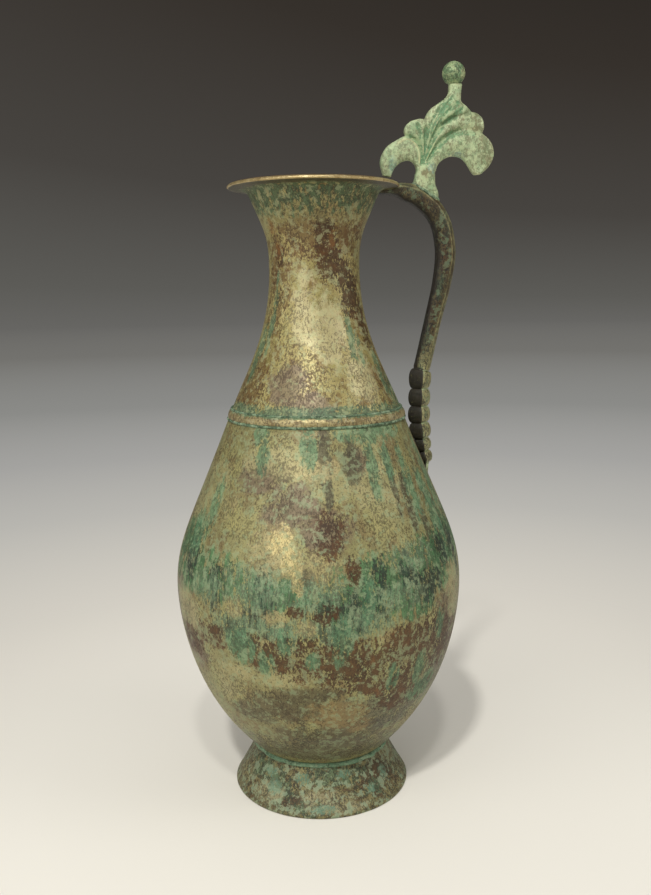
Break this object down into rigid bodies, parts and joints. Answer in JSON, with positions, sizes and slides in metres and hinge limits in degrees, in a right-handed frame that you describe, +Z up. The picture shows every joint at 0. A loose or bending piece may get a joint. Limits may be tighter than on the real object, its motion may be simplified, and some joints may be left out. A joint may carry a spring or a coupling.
{
  "type": "ibrik ewer",
  "caption": "Cast bronze ewer with a pear-shaped body on a splayed hollow foot, waisted neck with flat lip, faceted handle ending in graded beads, and palmette thumb-piece under a ball.",
  "frame": {"origin": "on the surface that the foot stands on, under the middle of the whole ewer's box", "axes": "+Z up along the vessel; the handle and the palmette lie in the XZ plane on the +X side; +Y is across them"},
  "size_m": [0.2028, 0.1796, 0.4524],
  "materials": {
    "body_bronze": "cast bronze with an olive patina, red-brown patches and a green band of verdigris",
    "neck_bronze": "cast bronze with an olive and brown patina, worn bright at the lip's edge",
    "foot_bronze": "cast bronze with a brown and green mottled patina",
    "ring_bronze": "cast bronze, rubbed pale gold on the crest",
    "handle_bronze": "cast bronze with a dark brown patina and green flecks",
    "palmette_bronze": "cast bronze under a pale grey-green crust, greener in the valleys",
    "ball_bronze": "cast bronze under a mottled green crust",
    "verdigris_solder": "solder line grown over with matt blue-green verdigris"
  },
  "bodies": {
    "root": {"foot": "foot_bronze", "foot_solder": "verdigris_solder", "body": "body_bronze", "shoulder_ring": "ring_bronze", "ring_solder_upper": "verdigris_solder", "ring_solder_lower": "verdigris_solder", "neck": "neck_bronze", "handle": "handle_bronze", "thumb_piece": "palmette_bronze", "stem_solder": "verdigris_solder", "ball_finial": "ball_bronze"}
  },
  "joints": []
}
